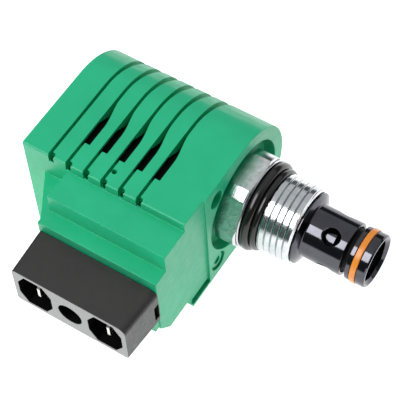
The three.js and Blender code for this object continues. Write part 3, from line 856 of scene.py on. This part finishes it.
# ------------------------------------------------------------------ springs
def coil_spring(name, mean, wire, low, high, turns):
    """A round wire of radius `wire` wound on the mean radius between two positions on the axis."""
    sides, per_turn = 12, 36
    bm = bmesh.new()
    rings = []
    count = turns * per_turn
    for k in range(count + 1):
        angle = TAU * k / per_turn
        outward = Vector((0, math.cos(angle), math.sin(angle)))
        centre = outward * mean + Vector((low + wire + (high - low - 2 * wire) * k / count, 0, 0))
        ring = []
        for j in range(sides):
            around = TAU * j / sides
            offset = outward * math.cos(around) + Vector((1, 0, 0)) * math.sin(around)
            ring.append(bm.verts.new(centre + offset * wire))
        rings.append(ring)
    for ring, after in zip(rings, rings[1:]):
        for j in range(sides):
            i = (j + 1) % sides
            bm.faces.new((ring[j], ring[i], after[i], after[j]))
    bm.faces.new(rings[0])
    bm.faces.new(rings[-1])
    bmesh.ops.recalc_face_normals(bm, faces=bm.faces)
    return object_of(name, bm)


def spring_piece(name, node, joint, anchor_x, keep, *shape):
    spring = piece(coil_spring(name, *shape), "cartridge", SPRING, [node], smooth=60)
    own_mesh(spring)


# Each spring is given its joint, fixed end and the share of its length kept under travel (2.0 mm of
# 13.3 and 1.6 mm of 7.3); spring_piece does not use them.
spring_piece("armature_coil_spring", "armature_spring", "armature_slide", -30.2, 0.85,
             1.7, 0.32, -30.2, -16.9, 8)
spring_piece("poppet_coil_spring", "poppet_spring", "poppet_slide", 12.1, 0.78,
             2.35, 0.3, 12.1, 19.4, 5)

# ------------------------------------------------------------------ stage, light and camera
CENTRE = ORIGIN + Vector((-7.2, -6.6, -0.7)) * MM  # what the lights aim at
FLOOR_DROP = 0.00005


def floor():
    """A lit table: it glows white, and fades out well in front of the connector."""
    bm = bmesh.new()
    bmesh.ops.create_grid(bm, x_segments=8, y_segments=8, size=3.0)
    plane = object_of("floor", bm)
    plane.location.z = -FLOOR_DROP
    table = look("studio_floor", [(0.48, 0.48, 0.48), (0.50, 0.50, 0.50)], (0.75, 0.85), patches=4)
    tree = table.node_tree
    shader = tree.nodes["Principled BSDF"]
    shader.inputs["Emission Color"].default_value = (1, 1, 1, 1)
    where = add(tree, "ShaderNodeTexCoord").outputs["Object"]
    across = add(tree, "ShaderNodeSeparateXYZ", {"Vector": where}).outputs["Y"]
    glow = spread(tree, across, 0.0, 1.15, -0.32, -0.16)
    tree.links.new(glow, shader.inputs["Emission Strength"])
    plane.data.materials.append(table)


def softbox(name, direction, distance, width, height, power):
    """An area light at a distance from the object, facing it, with its width level."""
    lamp = bpy.data.lights.new(name, "AREA")
    lamp.shape = "RECTANGLE"
    lamp.size, lamp.size_y = width, height
    lamp.energy = power
    obj = bpy.data.objects.new(name, lamp)
    bpy.context.collection.objects.link(obj)
    towards = Vector(direction).normalized()
    along = (Vector((1, 0, 0)) - towards * towards.x).normalized()
    across = towards.cross(along)
    obj.location = CENTRE + towards * distance
    obj.rotation_mode = "QUATERNION"
    obj.rotation_quaternion = Matrix((along, across, towards)).transposed().to_quaternion()


floor()
softbox("key", (-0.32, -0.486, 0.81), 0.8, 0.45, 0.51, 4.95)
softbox("overhead", (-0.2, 0.45, 0.87), 0.9, 1.4, 1.4, 3.4)
softbox("side", (0.7, 0.45, 0.55), 0.9, 0.9, 0.9, 1.0)

world = bpy.data.worlds.new("studio")
bpy.context.scene.world = world
world.use_nodes = True
background = world.node_tree.nodes["Background"]
background.inputs["Color"].default_value = (0.8, 0.95, 1.0, 1.0)
background.inputs["Strength"].default_value = 0.1


def camera():
    """The camera that fits the photograph: its direction, roll, lens and place."""
    azimuth, elevation, roll = (math.radians(a) for a in (35.75, 56.75, 4.07))
    data = bpy.data.cameras.new("camera")
    obj = bpy.data.objects.new("camera", data)
    bpy.context.collection.objects.link(obj)
    data.sensor_width = 36.0
    data.lens = 140.7
    data.shift_x = -0.00275
    data.shift_y = 0.008
    data.clip_start, data.clip_end = 0.01, 20.0
    back = Vector((
        math.sin(azimuth) * math.cos(elevation),
        -math.cos(azimuth) * math.cos(elevation),
        math.sin(elevation),
    ))
    level = Vector((math.cos(azimuth), math.sin(azimuth), 0))
    right = level * math.cos(roll) - back.cross(level) * math.sin(roll)
    up = back.cross(right)
    obj.rotation_mode = "QUATERNION"
    obj.rotation_quaternion = Matrix((right, up, back)).transposed().to_quaternion()
    obj.location = ORIGIN + Vector((107.4, -165.7, 298.4)) * MM
    bpy.context.scene.camera = obj


camera()
bpy.context.scene.view_settings.view_transform = "Standard"
